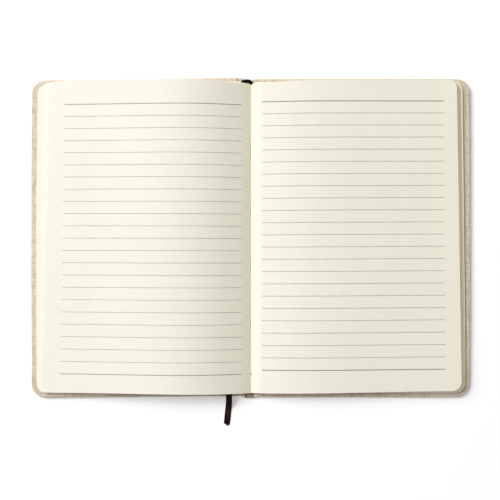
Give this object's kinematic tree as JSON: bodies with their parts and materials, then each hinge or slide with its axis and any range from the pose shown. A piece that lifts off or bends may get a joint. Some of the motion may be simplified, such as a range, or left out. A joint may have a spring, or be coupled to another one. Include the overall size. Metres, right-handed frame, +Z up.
{
  "type": "open ruled hardcover notebook",
  "caption": "Cloth-covered hardcover notebook lying open flat, with arched ruled cream pages, a two-fold case and a ribbon marker hanging out at the tail.",
  "frame": {"origin": "under the middle of the spine, on the surface that the open notebook lies on", "axes": "+X across the opening towards the back cover's fore-edge, +Y towards the head of the pages, +Z up from the table"},
  "size_m": [0.29, 0.2297, 0.0124],
  "materials": {
    "cover_cloth": "natural linen and cotton weave, matte",
    "board": "grey board, matte",
    "endpaper": "uncoated cream",
    "page": "uncoated cream with fine grey ruling",
    "lining": "open gauze, glued",
    "thread": "waxed cotton thread",
    "ribbon": "satin weave, near black with a maroon sheen"
  },
  "bodies": {
    "back_cover": {"back_board": "board", "back_cloth": "cover_cloth", "back_endpaper": "endpaper", "back_page_block": "page", "back_open_leaves": "page"},
    "spine": {"spine_strip": "board", "spine_cloth": "cover_cloth", "spine_lining": "lining", "sewing_thread": "thread"},
    "front_cover": {"front_board": "board", "front_cloth": "cover_cloth", "front_endpaper": "endpaper", "front_page_block": "page", "front_open_leaves": "page", "ribbon_marker": "ribbon"}
  },
  "joints": [
    {"name": "spine_hinge", "type": "hinge", "parent": "back_cover", "child": "spine", "pos_m": [0.006, 0, 0.0004], "axis": [0, 1, 0], "range_deg": [0, 90], "deforming": ["back_open_leaves"]},
    {"name": "front_cover_hinge", "type": "hinge", "parent": "spine", "child": "front_cover", "pos_m": [-0.006, 0, 0.0004], "axis": [0, 1, 0], "range_deg": [0, 90], "deforming": ["front_open_leaves", "ribbon_marker"]}
  ]
}
